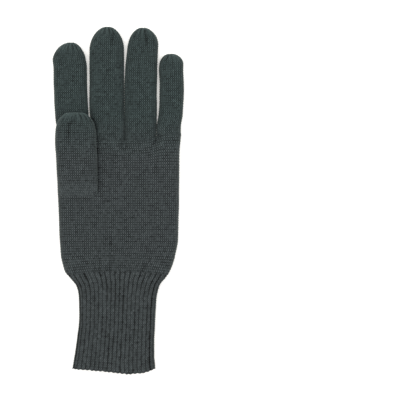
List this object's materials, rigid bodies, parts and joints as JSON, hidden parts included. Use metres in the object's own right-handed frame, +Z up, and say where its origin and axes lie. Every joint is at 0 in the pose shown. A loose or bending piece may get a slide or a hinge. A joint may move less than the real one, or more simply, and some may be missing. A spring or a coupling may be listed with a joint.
{
  "type": "knitted glove liner",
  "caption": "Knitted wool glove liner lying palm up, thumb folded over the palm, closed gathered fingertips and a long ribbed cuff; hollow, open at the wrist.",
  "frame": {"origin": "on the table under the middle of the glove's outline", "axes": "+Y from the cuff towards the fingertips, +Z up out of the palm, the thumb on the -X side"},
  "size_m": [0.0994, 0.2652, 0.017],
  "materials": {
    "plain_wool": "heathered grey green wool, plain stocking stitch",
    "ribbed_wool": "heathered grey green wool, two by one rib"
  },
  "bodies": {
    "root": {"cuff": "ribbed_wool", "hand": "plain_wool", "thumb": "plain_wool", "index_finger": "plain_wool", "middle_finger": "plain_wool", "ring_finger": "plain_wool", "little_finger": "plain_wool"}
  },
  "joints": []
}
